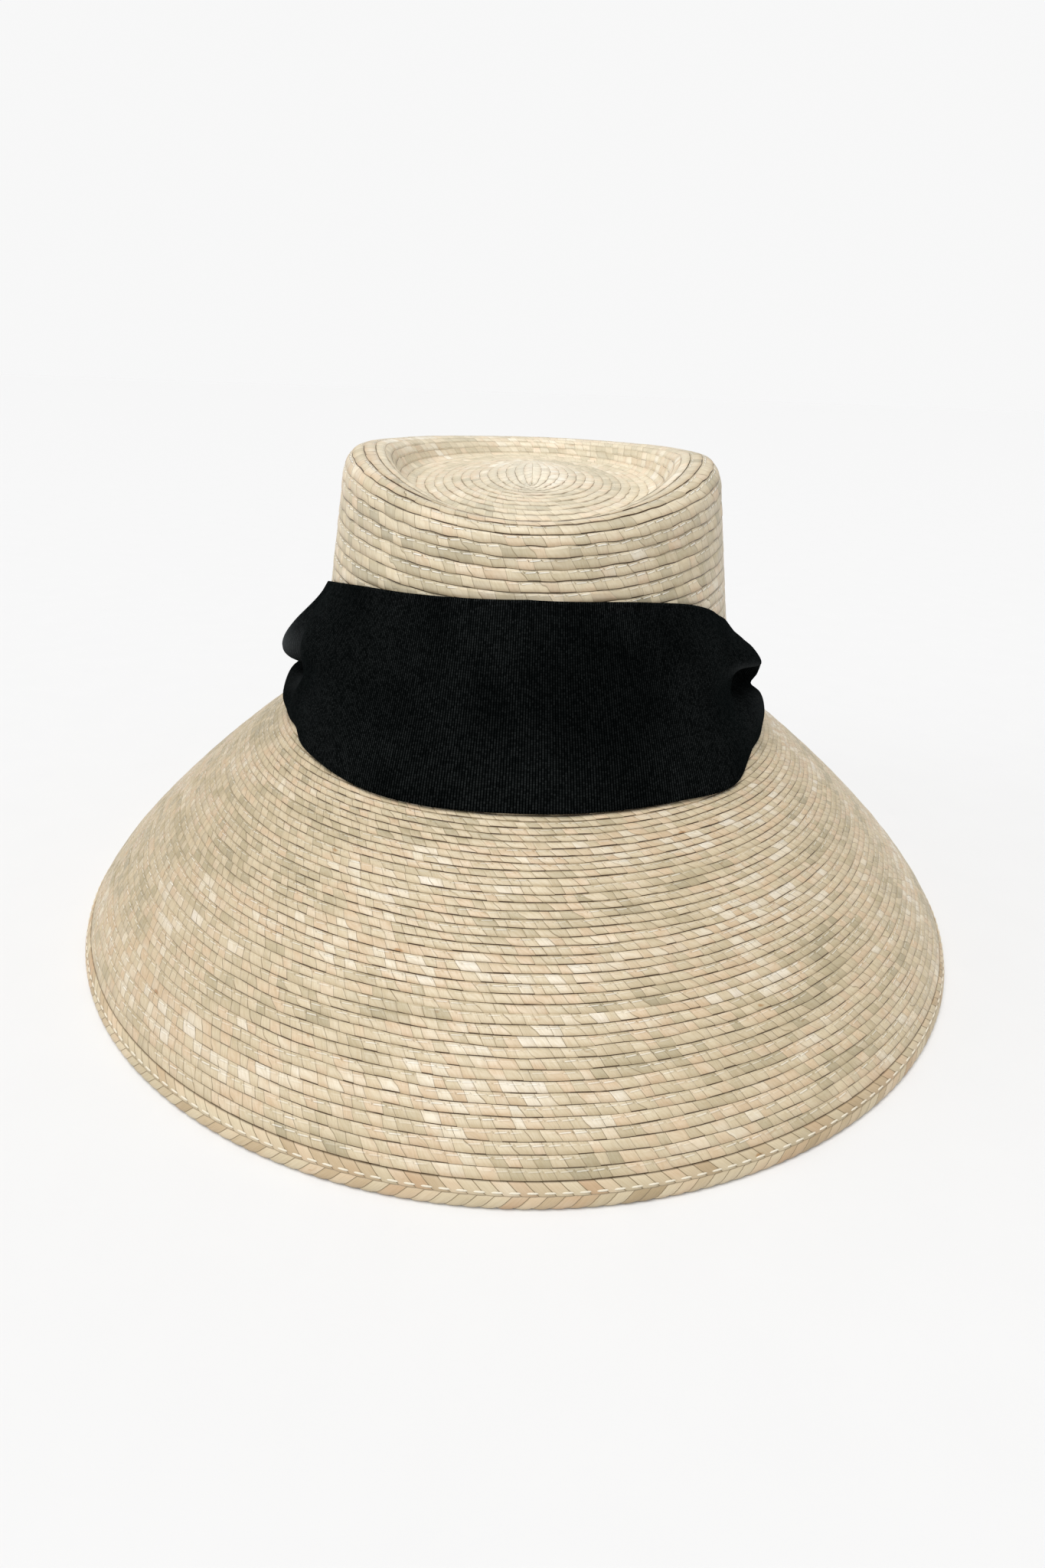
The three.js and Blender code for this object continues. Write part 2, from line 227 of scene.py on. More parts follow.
def ring_piece(name, loops, along, place, material):
    """
    A closed ring from loops[column, point, xyz]. Each segment of a loop carries its distance round
    the hat, along[column, segment], and its two places down the rows, place[segment, 2].
    """
    columns, size, _ = loops.shape
    faces = ring_faces(columns, size)
    points = loops.reshape(-1, 3)
    start, end = along[:-1], along[1:]
    low = np.broadcast_to(place[:, 0], start.shape)
    high = np.broadcast_to(place[:, 1], start.shape)
    corners = [(start, low), (start, high), (end, high), (end, low)]
    uv = np.stack([np.stack(corner, -1) for corner in corners], -2).reshape(-1, 4, 2)
    if signed_volume(points, faces) < 0:
        faces, uv = faces[:, ::-1], uv[:, ::-1]
    return make_piece(name, points, faces, material, uv)


def waves(lines, angles, rates, size):
    """Slow waves round the hat, a different one for each line, about `size` high."""
    phase = rng.uniform(0, 2 * math.pi, (lines, len(rates)))
    height = rng.normal(0, size / math.sqrt(len(rates)), (lines, len(rates)))
    return sum(
        height[:, i] * np.sin(rate * angles[:, None] + phase[:, i]) for i, rate in enumerate(rates)
    )


def distance_round(loops):
    """Distance round the hat at each column of loops[column, line, xyz], with the full turn last."""
    closed = np.concatenate([loops, loops[:1]])
    steps = np.linalg.norm(np.diff(closed, axis=0), axis=2)
    return np.concatenate([np.zeros((1, loops.shape[1])), np.cumsum(steps, axis=0)])


# ---- rows of braid ----
# Share of the visible height of a row, from under the row above to its free lower edge, and how far
# the straw stands off the hat's shape there, on the outside and on the inside.
OUTER_ROW = [(0.01, -0.50), (0.055, -0.10), (0.30, 0.12), (0.64, 0.22), (0.93, 0.20), (0.99, 0.02)]
INNER_ROW = [(0.05, 0.30), (0.35, -0.15), (0.75, -0.10)]
RING_TUCK = 0.14                      # share of a row by which a ring of rows goes under the one before
INSIDE_PLACE = 300                    # row numbers of the inside start here


def straw_rings(name, profile, bounds, columns, material, roundness, dip=no_dip,
                stretch=no_stretch, tilt=level):
    """Shingled rows of braid between the shares in `bounds`, as one closed ring-shaped piece."""
    angles = BACK + 2 * math.pi * np.arange(columns) / columns
    rows = len(bounds) - 1
    height = np.diff(bounds)
    edge = np.array(bounds)[None, :] + waves(rows + 1, angles, (5, 11, 23, 41), 0.045) * height.mean()
    edge[:, 0], edge[:, -1] = bounds[0], bounds[-1]
    swell = 1 + waves(rows, angles, (9, 17, 37, 71), 0.22)
    lift = waves(rows, angles, (3, 7, 13, 29), 0.10)

    def face(shape, thickness):
        share = np.concatenate([
            (edge[:, :-1] + place * (edge[:, 1:] - edge[:, :-1]))[:, :, None] for place, _ in shape
        ], 2)
        rise = np.stack([rise * roundness * swell + lift for _, rise in shape], 2) - thickness
        share, rise = share.reshape(columns, -1), rise.reshape(columns, -1)
        radius, z = profile.at(share, rise)
        radius = np.maximum(radius, 0.01)
        return on_oval(
            radius, z, angles[:, None], dip(share, radius), stretch(share), tilt(radius))

    outer = face(OUTER_ROW, 0)
    inner = face(INNER_ROW, STRAW_THICKNESS)
    loops = np.concatenate([outer, inner[:, ::-1]], 1)

    middle = outer[:, len(OUTER_ROW) // 2::len(OUTER_ROW)]
    run = distance_round(middle)
    outer_run = np.repeat(run, len(OUTER_ROW), 1)
    inner_run = np.repeat(run, len(INNER_ROW), 1)[:, ::-1]
    along = np.concatenate([outer_run, inner_run], 1)

    def places(shape, first):
        stops = [place for place, _ in shape] + [0.999]
        return np.array([
            (first + row + a, first + row + b) for row in range(rows) for a, b in zip(stops, stops[1:])
        ])

    inner_places = places(INNER_ROW, INSIDE_PLACE)[::-1]
    inner_places = np.roll(inner_places[:, ::-1], -1, 0)
    place = np.concatenate([places(OUTER_ROW, 0), inner_places])
    return ring_piece(name, loops, along, place, material)


# ---- materials ----
class Wire:
    """A value in a material's node graph, for which sums are written as in plain code."""

    def __init__(self, graph, socket):
        self.graph = graph
        self.socket = socket

    def __add__(self, other):
        return self.graph.math("ADD", self, other)

    def __sub__(self, other):
        return self.graph.math("SUBTRACT", self, other)

    def __mul__(self, other):
        return self.graph.math("MULTIPLY", self, other)

    def __truediv__(self, other):
        return self.graph.math("DIVIDE", self, other)

    def __rsub__(self, other):
        return self.graph.math("SUBTRACT", other, self)

    __radd__ = __add__
    __rmul__ = __mul__


class Graph:
    """A material's nodes, made by plain calls. Any input may be a number, a colour or a Wire."""

    def __init__(self, name):
        self.material = bpy.data.materials.new(name)
        self.material.use_nodes = True
        self.tree = self.material.node_tree
        self.shader = self.tree.nodes["Principled BSDF"]

    def feed(self, socket, value):
        if isinstance(value, Wire):
            self.tree.links.new(value.socket, socket)
        else:
            socket.default_value = value

    def node(self, kind, inputs, output=0, **settings):
        node = self.tree.nodes.new(kind)
        for key, value in settings.items():
            setattr(node, key, value)
        for key, value in inputs.items():
            self.feed(node.inputs[key], value)
        return Wire(self, node.outputs[output])

    def math(self, operation, *values):
        return self.node("ShaderNodeMath", dict(enumerate(values)), operation=operation)

    def floor(self, value):
        return self.math("FLOOR", value)

    def size(self, value):
        return self.math("ABSOLUTE", value)

    def step(self, value, low, high):
        """0 below `low`, 1 above `high`, smooth between; the other way round if low > high."""
        return self.node(
            "ShaderNodeMapRange", {"Value": value, "From Min": low, "From Max": high},
            interpolation_type="SMOOTHSTEP")

    def vector(self, x, y, z=0.0):
        return self.node("ShaderNodeCombineXYZ", {0: x, 1: y, 2: z})

    def random(self, x, y=0.0, z=0.0):
        """A number from 0 to 1 that is the same wherever the inputs are the same."""
        return self.node("ShaderNodeTexWhiteNoise", {"Vector": self.vector(x, y, z)})

    def noise(self, vector, scale=1.0, detail=2.0):
        return self.node("ShaderNodeTexNoise", {"Vector": vector, "Scale": scale, "Detail": detail})

    def mix(self, factor, first, second, blend="MIX"):
        return self.node(
            "ShaderNodeMix", {0: factor, 6: first, 7: second}, output=2,
            data_type="RGBA", blend_type=blend)

    def ramp(self, value, stops):
        """Colours along a value, from (place, colour) stops."""
        node = self.tree.nodes.new("ShaderNodeValToRGB")
        elements = node.color_ramp.elements
        while len(elements) < len(stops):
            elements.new(0.5)
        for element, (place, colour) in zip(elements, stops):
            element.position = place
            element.color = colour
        self.feed(node.inputs[0], value)
        return Wire(self, node.outputs[0])

    def parts(self, vector):
        """The three numbers of a vector."""
        node = self.tree.nodes.new("ShaderNodeSeparateXYZ")
        self.feed(node.inputs[0], vector)
        return [Wire(self, output) for output in node.outputs]

    def place(self):
        """The two coordinates laid on the piece's surface, in millimetres or rows."""
        return self.parts(self.node("ShaderNodeUVMap", {}, uv_map="place"))[:2]

    def bump(self, height, strength=1.0):
        """Surface relief from a height in millimetres."""
        normal = self.node("ShaderNodeBump", {"Height": height, "Strength": strength, "Distance": MM})
        self.feed(self.shader.inputs["Normal"], normal)


def shown(red, green, blue):
    """A colour as seen on a screen, 0 to 255, as the linear colour that shaders use."""
    linear = [
        c / 12.92 if c <= 0.04045 else ((c + 0.055) / 1.055) ** 2.4
        for c in (red / 255, green / 255, blue / 255)
    ]
    return (*linear, 1.0)


LEAF_TONES = [
    (0.00, shown(188, 178, 150)),
    (0.20, shown(204, 192, 161)),
    (0.38, shown(221, 207, 177)),
    (0.52, shown(229, 216, 187)),
    (0.66, shown(228, 206, 175)),
    (0.82, shown(242, 232, 209)),
    (1.00, shown(250, 243, 229)),
]
# Dark brown painted as shadow: in the crevice under each row, in the stitch pits and beside the stitches,
# and in the edge braid's middle crease and under the row above it.
CREVICE_SHADOW = shown(66, 44, 16)
SEAM_LINE = shown(142, 124, 94)
OCHRE = shown(204, 160, 104)
# Pale tint painted on as light from above.
TOP_LIGHT_TINT = shown(255, 250, 236)
# Grey-brown tint painted on as shade, over whole parts and over the rows on the wearer's right.
SHADE_TINT = shown(206, 198, 188)
THREAD = shown(246, 242, 230)

LEAF_TILT = 0.32                      # spread of the slopes at which strands lie
STITCH_PITCH = 4.55
EDGE_STRAND = 5.2
EDGE_LEAN = 4.6                       # how far a strand of the edge braid leans over half its height
# Span of X over which the braid's painted shade fades, where the side light from the left falls.
SIDE_LIT_FROM, SIDE_LIT_FULLY = -0.055, -0.135     # X in metres, on the wearer's right
RIB_PITCH = 0.89
WARP_PITCH = 0.6


def leaf_colour(g, tone, patch, spot):
    """Colour of palm leaf from a strand's own tone, a slow patch and rare ochre spots."""
    colour = g.ramp(tone * 0.5 + patch * 0.5, LEAF_TONES)
    return g.mix(g.step(spot, 0.69, 0.78) * 0.7, colour, OCHRE, "MULTIPLY")


def braid_material(name, row_height, slant, strand_width, stitch_at, stitch_strength, shade,
                   crevice_shadow_strength, top_light=(0.0, 0.0), part_shade=0.0, seams=1.0, side_light_fill=0.0):
    """
    Rows of sewn palm braid: leaf strands with their seams, the painted shadow in the crevice under each
    row and the thread that sews it. `slant` is how far a strand leans over one row, in millimetres. The
    first keyword argument paints the leaf lighter, as painted light from above, in the first row and from
    the eighth row on; the second darkens the whole part as painted shade; the last is how far, on the
    hat's right side where the side light falls, the painted shade and crevice shadows fade, the seams
    show more and the leaf is painted darker.
    """
    g = Graph(name)
    u, v = g.place()
    row = g.floor(v)
    down = v - row

    # leaf strands
    own = g.random(row, 3.1)
    drift = g.noise(g.vector(u * 0.13, row * 7.3), 1.0, 1.0) * (1.6 * strand_width)
    across = (u - down * slant + own * 90 + drift) / strand_width
    strand = g.floor(across)
    side = across - strand
    tone = g.random(strand, row)
    patch = g.noise(g.vector(u * 0.022, v * 0.16, own * 0.6), 1.0, 3.0)
    spot = g.noise(g.vector(u * 0.11, v * 0.7, 5.0), 1.0, 2.0)
    vein = g.noise(g.vector(across * 9, down * 1.2, row * 3.7), 1.0, 2.0)
    colour = leaf_colour(g, tone, g.step(patch, 0.28, 0.72), spot)
    colour = g.mix(g.step(vein, 0.35, 0.7) * 0.28, colour, shown(214, 198, 164), "MULTIPLY")
    # painted light and shade: the leaf is painted paler, as light from above, in the first row and from
    # the eighth row on, and the whole part is painted darker as painted shade
    top_light_share = g.step(v, 0.0, 7.0) * (top_light[1] - top_light[0]) + top_light[0]
    colour = g.mix(part_shade, g.mix(top_light_share, colour, TOP_LIGHT_TINT), SHADE_TINT, "MULTIPLY")

    # where the side light from the left falls, on the wearer's right: there the painted shade and crevice
    # shadows fade, the seams show more and the leaf is painted darker as painted shade
    sideways = g.parts(g.node("ShaderNodeTexCoord", {}, output=3))[0]
    side_lit = g.step(sideways, SIDE_LIT_FROM, SIDE_LIT_FULLY) * side_light_fill

    # seams between strands
    from_seam = (0.5 - g.size(side - 0.5)) * strand_width
    seam_strength = (g.random(strand, row, 4.0) * 0.8 + 0.2) * (side_lit * 1.2 + seams)
    seam = (1 - g.step(from_seam, 0.03, 0.19)) * seam_strength
    colour = g.mix(side_lit * 0.4, colour, SHADE_TINT, "MULTIPLY")
    colour = g.mix(seam, colour, SEAM_LINE)

    # painted shade on the lower half of each band and painted shadow in the crevice under it, which the
    # strands break into short steps
    shade_kept = 1 - side_lit
    # painted shade: the lower half of each band is painted a darker tan
    lower_half_shade = g.step(down, 0.5, 1.0)
    colour = g.mix(lower_half_shade * shade * shade_kept, colour, shown(196, 166, 118), "MULTIPLY")
    ragged = down + (g.random(strand, row, 7.0) - 0.5) * 0.09
    depth = g.step(g.noise(g.vector(u * 0.12, row * 5.1), 1.0, 2.0), 0.28, 0.52) * 0.65 + 0.35
    crevice_shadow = g.step(ragged, 0.925, 0.97) + (1 - g.step(down, 0.0, 0.03))
    colour = g.mix(crevice_shadow * depth * crevice_shadow_strength * shade_kept, colour, CREVICE_SHADOW)

    # sewing thread, a dash with a pit at each end; the pits and a thin line beside each dash are painted
    # dark as painted shadow
    count = (u + own * 47) / STITCH_PITCH
    dash = count - g.floor(count)
    off = g.size(down - stitch_at + (dash - 0.5) * 0.10) * row_height
    ends = g.size(dash - 0.5)
    stitch = (1 - g.step(off, 0.12, 0.25)) * (1 - g.step(ends, 0.33, 0.40))
    pit_with_shade = (1 - g.step(off, 0.15, 0.34)) * g.step(ends, 0.41, 0.46)
    stitch_shadow = g.step(off, 0.22, 0.30) * (1 - g.step(off, 0.34, 0.50)) * (1 - g.step(ends, 0.38, 0.44))
    sunk = g.random(g.floor(count), row, 8.0) * 0.7 + 0.3
    fade = g.step(g.noise(g.vector(u * 0.05, row * 3.3), 1.0, 1.0), 0.34, 0.60) * sunk * stitch_strength
    colour = g.mix((pit_with_shade * 0.7 + stitch_shadow * 0.3) * fade, colour, CREVICE_SHADOW)
    colour = g.mix(stitch * fade, colour, THREAD)
    g.feed(g.shader.inputs["Base Color"], colour)

    # relief: each strand is a little domed and lies at its own tilt, so that it catches the light
    dome = 1 - g.math("POWER", g.size(side * 2 - 1), 4.0)
    tilt_across = (side - 0.5) * (g.random(strand, row, 11.0) - 0.5) * (strand_width * LEAF_TILT)
    tilt_down = (down - 0.5) * (g.random(strand, row, 13.0) - 0.5) * (row_height * LEAF_TILT)
    relief = dome * 0.12 + vein * 0.05 + stitch * fade * 0.22 - pit_with_shade * fade * 0.2 - seam * 0.06
    g.bump(relief + tilt_across + tilt_down, 0.9)
    g.feed(g.shader.inputs["Roughness"], vein * 0.25 + 0.30)
    g.shader.inputs["Specular IOR Level"].default_value = 0.5
    return g.material


def edge_material():
    """The whole braid at the brim's edge: strands lean one way above its middle, the other below."""
    g = Graph("edge_braid")
    u, v = g.place()
    side = g.floor(v * 0.1) * 3.7
    down = v - g.floor(v * 0.1) * 10
    lean = g.size(down - 0.5) * (2 * EDGE_LEAN)
    half = g.step(down, 0.49, 0.51)
    across = (u + lean) / EDGE_STRAND + half * 0.5
    strand = g.floor(across)
    place = across - strand
    tone = g.random(strand, half, side)
    patch = g.noise(g.vector(u * 0.03, down * 0.8, side), 1.0, 2.0)
    spot = g.noise(g.vector(u * 0.10, down * 2.0, side + 9), 1.0, 2.0)
    vein = g.noise(g.vector(across * 14, down * 2.0, half * 5), 1.0, 2.0)
    colour = leaf_colour(g, tone * 0.7 + 0.3 * patch, patch, spot)
    browned = g.step(g.random(strand, half, side + 5), 0.40, 0.85)
    colour = g.mix(browned * 0.5, colour, shown(214, 190, 166), "MULTIPLY")
    # painted shade: the whole edge braid is painted darker
    colour = g.mix(0.45, colour, SHADE_TINT, "MULTIPLY")
    colour = g.mix(g.step(vein, 0.35, 0.7) * 0.22, colour, shown(214, 198, 164), "MULTIPLY")
    from_seam = (0.5 - g.size(place - 0.5)) * EDGE_STRAND
    seam = 1 - g.step(from_seam, 0.04, 0.26)
    middle = 1 - g.step(g.size(down - 0.5), 0.0, 0.035)
    colour = g.mix(seam, colour, SEAM_LINE)
    # painted shade in the crease along the braid's middle, and painted shadow along its top under the row
    # above
    colour = g.mix(middle * 0.35, colour, CREVICE_SHADOW)
    colour = g.mix((1 - g.step(down, 0.0, 0.07)) * 0.8, colour, CREVICE_SHADOW)
    g.feed(g.shader.inputs["Base Color"], colour)
    g.bump(vein * 0.08 - seam * 0.12 - middle * 0.1, 0.9)
    g.feed(g.shader.inputs["Roughness"], vein * 0.25 + 0.38)
    g.shader.inputs["Specular IOR Level"].default_value = 0.42
    return g.material


def ribbon_material():
    """Black grosgrain: fine ribs across the ribbon, with warp threads that break them into dashes. The
    tops of the ribs and dashes are painted grey in patches, as painted highlights.
    """
    g = Graph("grosgrain")
    u, v = g.place()
    wander = g.noise(g.vector(u * 0.02, v * 0.05), 1.0, 1.0) * 0.6
    count = (u + wander) / RIB_PITCH
    rib = g.floor(count)
    across = count - rib
    ridge = 1 - g.math("POWER", g.size(across * 2 - 1), 2.0)
    warp_count = v / WARP_PITCH + g.random(rib, 1.0)
    warp = g.floor(warp_count)
    warp_ridge = 1 - g.math("POWER", g.size((warp_count - warp) * 2 - 1), 2.0)
    glint = g.random(rib, warp)
    highlight_patches = g.step(g.noise(g.vector(u * 0.028, v * 0.03, 2.0), 1.0, 2.0), 0.34, 0.62) * 0.45 + 0.5
    rib_highlight = (glint * 0.75 + 0.25) * g.step(ridge, 0.35, 0.95) * highlight_patches
    colour = g.mix(rib_highlight * (warp_ridge * 0.5 + 0.5) * 0.6, shown(1, 2, 2), shown(48, 51, 51))
    # painted sheen: a pale grey painted on the folds where they would shine
    fold_shine = g.node("ShaderNodeAttribute", {}, output=2, attribute_name="fold_shine")
    colour = g.mix(fold_shine, colour, shown(104, 108, 110))
    g.feed(g.shader.inputs["Base Color"], colour)
    g.bump(ridge * 0.16 + warp_ridge * 0.05 + glint * 0.03, 0.8)
    g.feed(g.shader.inputs["Roughness"], 0.8 - rib_highlight * 0.2)
    g.shader.inputs["Specular IOR Level"].default_value = 0.0
    g.shader.inputs["Sheen Weight"].default_value = 0.012
    g.shader.inputs["Sheen Roughness"].default_value = 0.16
    g.shader.inputs["Sheen Tint"].default_value = shown(190, 226, 230)
    return g.material


def cloth_material(name, light, dark, pitch):
    """Plain woven cotton, from its thread colours and pitch in millimetres."""
    g = Graph(name)
    u, v = g.place()
    warp = g.size(u / pitch - g.floor(u / pitch) - 0.5) * 2
    weft = g.size(v / pitch - g.floor(v / pitch) - 0.5) * 2
    over = g.random(g.floor(u / pitch), g.floor(v / pitch))
    height = 1 - warp * weft
    slub = g.noise(g.vector(u * 0.15, v * 0.6), 1.0, 3.0)
    colour = g.mix(height * 0.5 + over * 0.2 + slub * 0.3, dark, light)
    g.feed(g.shader.inputs["Base Color"], colour)
    g.bump(height * 0.10 + over * 0.04, 0.8)
    g.feed(g.shader.inputs["Roughness"], slub * 0.2 + 0.72)
    g.shader.inputs["Sheen Weight"].default_value = 0.15
    return g.material


def thread_material(name, dark, light):
    """Twisted cotton sewing thread."""
    g = Graph(name)
    where = g.node("ShaderNodeTexCoord", {}, output=3)
    strand = g.noise(where, 2600.0, 2.0)
    soil = g.noise(where, 90.0, 2.0)
    g.feed(g.shader.inputs["Base Color"], g.mix(strand * 0.5 + soil * 0.5, dark, light))
    g.bump(strand * 0.12, 0.8)
    g.feed(g.shader.inputs["Roughness"], strand * 0.3 + 0.5)
    return g.material


# The tip, the wall and the brim are one braid in three copies, painted lighter or darker as painted light
# and shade.
tip_straw = braid_material(
    "tip_braid", 3.8, 1.6, 4.2, 0.26, 0.30, 0.20, 0.55, top_light=(0.45, 0.20), seams=0.4)
wall_straw = braid_material(
    "wall_braid", 3.9, 1.8, 5.6, 0.21, 1.15, 0.36, 1.0, top_light=(0.16, 0.06), part_shade=0.24, seams=0.9)
brim_straw = braid_material("brim_braid", 3.3, 2.1, 4.2, 0.27, 0.60, 0.22, 1.0, part_shade=0.44, side_light_fill=0.75)
edge_straw = edge_material()
grosgrain = ribbon_material()
cotton = cloth_material("cotton_tape", shown(246, 241, 228), shown(206, 196, 174), 0.5)
thread = thread_material("thread", shown(206, 194, 168), shown(240, 233, 216))
black_thread = thread_material("black_thread", shown(10, 10, 11), shown(34, 35, 37))


# ---- straw body ----
def even_rows(count, growth=1.0, end=1.0):
    """Shares at which rows meet, when the last row is `growth` times as tall as the first."""
    heights = np.linspace(1, growth, count)
    return np.concatenate([[0], np.cumsum(heights)]) / heights.sum() * end


crown_tip = straw_rings(
    "crown_tip_braid", tip_profile, even_rows(TIP_ROWS), 400, tip_straw, 0.3, tip_dip,
    tilt=tip_tilt)
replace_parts(crown_tip, "crown_tip")

crown_wall = straw_rings(
    "crown_wall_braid", wall_profile, even_rows(WALL_ROWS), 450, wall_straw, 0.65, wall_dip)
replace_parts(crown_wall, "crown_wall")

brim_bounds = even_rows(BRIM_ROWS, BRIM_PITCH_GROWTH, EDGE_START)
for part, first, last in (("upper", 0, 14), ("middle", 14, 28), ("lower", 28, BRIM_ROWS)):
    bounds = brim_bounds[first:last + 1].copy()
    bounds[0] -= RING_TUCK * (bounds[1] - bounds[0])
    ring = straw_rings(
        f"brim_{part}_braid", brim_profile, bounds, 720, brim_straw, 0.55, stretch=brim_stretch)
    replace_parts(ring, "brim")


EDGE_COLUMNS = 1440
EDGE_INNER_POINTS = 6


def edge_braid():
    """The last braid of the brim, in full, with the swell of each strand and a scalloped foot."""
    columns = EDGE_COLUMNS
    angles = BACK + 2 * math.pi * np.arange(columns) / columns
    round_edge = 2 * math.pi * (BRIM_EDGE_RADIUS + HEAD_OVALITY / 2 + BRIM_STRETCH / 2)
    run = round_edge * np.arange(columns) / columns
    places = np.array([0.0, 0.08, 0.2, 0.32, 0.44, 0.5, 0.56, 0.68, 0.8, 0.92, 1.0])
    lean = np.abs(places - 0.5) * 2 * EDGE_LEAN
    across = (run[:, None] + lean) / EDGE_STRAND + np.where(places > 0.5, 0.5, 0.0)
    swell = 1 - np.abs(2 * (across % 1) - 1) ** 3
    body = 0.55 * np.sqrt(np.maximum(0, 1 - (2 * places - 1) ** 4))
    rise = body - 0.35 + 0.28 * swell - 0.2 * np.exp(-((places - 0.5) / 0.05) ** 2)
    foot = (swell[:, -1] - 0.6) * 0.35
    share = EDGE_START + (1 - EDGE_START) * places[None, :] * np.ones((columns, 1))
    radius, z = brim_profile.at(share, rise)
    z = z - foot[:, None] * np.clip(places - 0.75, 0, 1) * 4 * 0.5 + 0.25 * (places > 0.9)
    outer = on_oval(radius, np.maximum(z, 0.0), angles[:, None], 0, brim_stretch(share))
    inner_places = np.linspace(1, 0, EDGE_INNER_POINTS)
    inner_share = EDGE_START + (1 - EDGE_START) * inner_places[None, :] * np.ones((columns, 1))
    inner_rise = -STRAW_THICKNESS + 0.12 * np.sin(run[:, None] / EDGE_STRAND * 2 * math.pi)
    radius, z = brim_profile.at(inner_share, inner_rise + 0 * inner_share)
    inner = on_oval(radius, np.maximum(z, 0.0), angles[:, None], 0, brim_stretch(inner_share))
    loops = np.concatenate([outer, inner], 1)
    along = np.repeat(np.append(run, round_edge)[:, None], loops.shape[1], 1)
    stops = [*places, *(10 + inner_places), 10.0]
    place = np.array([(a, b) for a, b in zip(stops, stops[1:])])
    place[len(places) - 1] = (1.0, 1.0)
    return ring_piece("brim_edge_braid_plaited", loops, along, place, edge_straw)


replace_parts(edge_braid(), "brim_edge_braid")


# ---- real stitches ----
def stitch_row(name, columns, place_of, length, radius, node):
    """Separate stitches along a line; place_of(angle, side, rise) gives points beside the line."""
    turn = np.array([(0, -1, 0), (0, -0.4, 0.8), (0, 0.4, 0.8), (0, 1, 0)])
    shape = [(-0.5, 0.25), (-0.36, 0.85), (0.0, 1.0), (0.36, 0.85), (0.5, 0.25)]
    points, faces = [], []
    for i in range(columns):
        angle = BACK + 2 * math.pi * (i + 0.5) / columns
        base = len(points)
        for place, swell in shape:
            for _, side, rise in turn:
                points.append(place_of(
                    angle + place * length, side * radius * swell, rise * radius * swell * 1.2))
        for j in range(len(shape) - 1):
            for k in range(len(turn) - 1):
                a = base + j * len(turn) + k
                faces.append((a, a + 1, a + 1 + len(turn), a + len(turn)))
    piece = make_piece(name, points, faces, thread)
    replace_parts(piece, node)
    return piece


EDGE_STITCHES = 236
EDGE_STITCH_AT = EDGE_START + (1 - EDGE_START) * 0.38
EDGE_STITCH_LENGTH = 0.66             # share of the pitch that a stitch covers
EDGE_STITCH_RADIUS = 0.32


def on_edge_line(angle, side, rise):
    share = EDGE_STITCH_AT + side / brim_profile.length
    radius, z = brim_profile.at(share, 0.42 + rise)
    return on_oval(radius, z, angle, 0, brim_stretch(share))


stitch_row(
    "edge_stitches", EDGE_STITCHES, on_edge_line, 2 * math.pi / EDGE_STITCHES * EDGE_STITCH_LENGTH,
    EDGE_STITCH_RADIUS, "edge_stitching")


# ---- ribbon sash ----
# Half width and height of the ribbon's face from its top edge to its bottom edge, at angles away from
# the front in degrees. In front it is a smooth flared panel. At each side a pleat turns in behind the
# panel's fold and pinches the ribbon into an upper and a lower lobe. Behind, it runs flat to the bow.
FRONT_PANEL = {
    0: [(80.8, 146.3), (83.9, 137.5), (87.3, 128), (90.8, 119), (94.2, 110.5), (97.3, 103), (100.4, 96),
        (103.5, 88.8), (106.3, 81.5)],
}
BEHIND = {
    112: [(84.8, 119), (87.6, 116.6), (90.8, 113.8), (92.6, 110.2), (90.0, 105.2), (89.8, 101.4),
          (93.6, 97), (96.8, 92.6), (96.8, 89.0)],
    140: [(85.0, 119.5), (86.4, 116.8), (88.2, 113.8), (89.4, 110.8), (88.6, 106.8), (88.8, 103.2),
          (90.8, 99.6), (93.2, 96), (93.8, 92.5)],
    180: [(85.2, 118.5), (86.0, 115.6), (86.8, 112.8), (87.5, 110), (87.6, 107.1), (88.1, 104.2),
          (89.2, 101.3), (90.4, 98.4), (91.8, 95.5)],
}
LEFT_SIDE = {
    **FRONT_PANEL,
    30: [(81.0, 144.5), (84.2, 136.3), (87.6, 127.2), (91.0, 118.5), (94.2, 110.3), (97.3, 103),
         (100.5, 96), (103.7, 88.6), (106.6, 81.2)],
    44: [(81.2, 143.3), (84.8, 135.2), (88.4, 126.5), (91.8, 118), (94.6, 110), (97.2, 102.8),
         (99.8, 96), (102.2, 89.3), (104.4, 82.7)],
    54: [(81.4, 141.6), (85.6, 133.5), (90.0, 125), (93.4, 117), (94.9, 109.5), (96.6, 102.5),
         (98.8, 96.3), (100.9, 90.2), (102.8, 83.8)],
    62: [(81.6, 139.8), (86.2, 131.8), (91.8, 123.6), (95.4, 115.5), (95.2, 107.6), (95.6, 102.4),
         (98.3, 96.8), (100.6, 91.0), (100.4, 85.4)],
    66: [(81.7, 138.8), (85.8, 131.6), (92.0, 122.6), (95.2, 114.6), (94.8, 107.4), (94.6, 103.2),
         (97.8, 97.6), (101.2, 91.2), (100.8, 85.2)],
    69: [(81.8, 138.0), (85.6, 131.2), (91.6, 121.6), (94.2, 114.0), (93.2, 107.4), (91.4, 103.4),
         (95.0, 98.4), (101.4, 91.6), (101.0, 85.2)],
    73: [(81.9, 136.8), (85.8, 130.5), (95.2, 119.6), (99.6, 112.2), (98.4, 107.0), (90.2, 103.0),
         (94.0, 98.6), (101.9, 91.4), (101.2, 85.1)],
    78: [(82.1, 135.2), (86.2, 129.2), (96.4, 118.6), (101.2, 111.4), (100.4, 107.0), (92.6, 102.8),
         (98.2, 97.8), (102.4, 90.4), (101.4, 85.0)],
    90: [(83.4, 129), (87.8, 123.4), (95.8, 116.4), (100.2, 110.2), (98.2, 105.6), (91.6, 101.4),
         (98.4, 96.6), (101.8, 90.6), (101.0, 86.0)],
    **BEHIND,
}
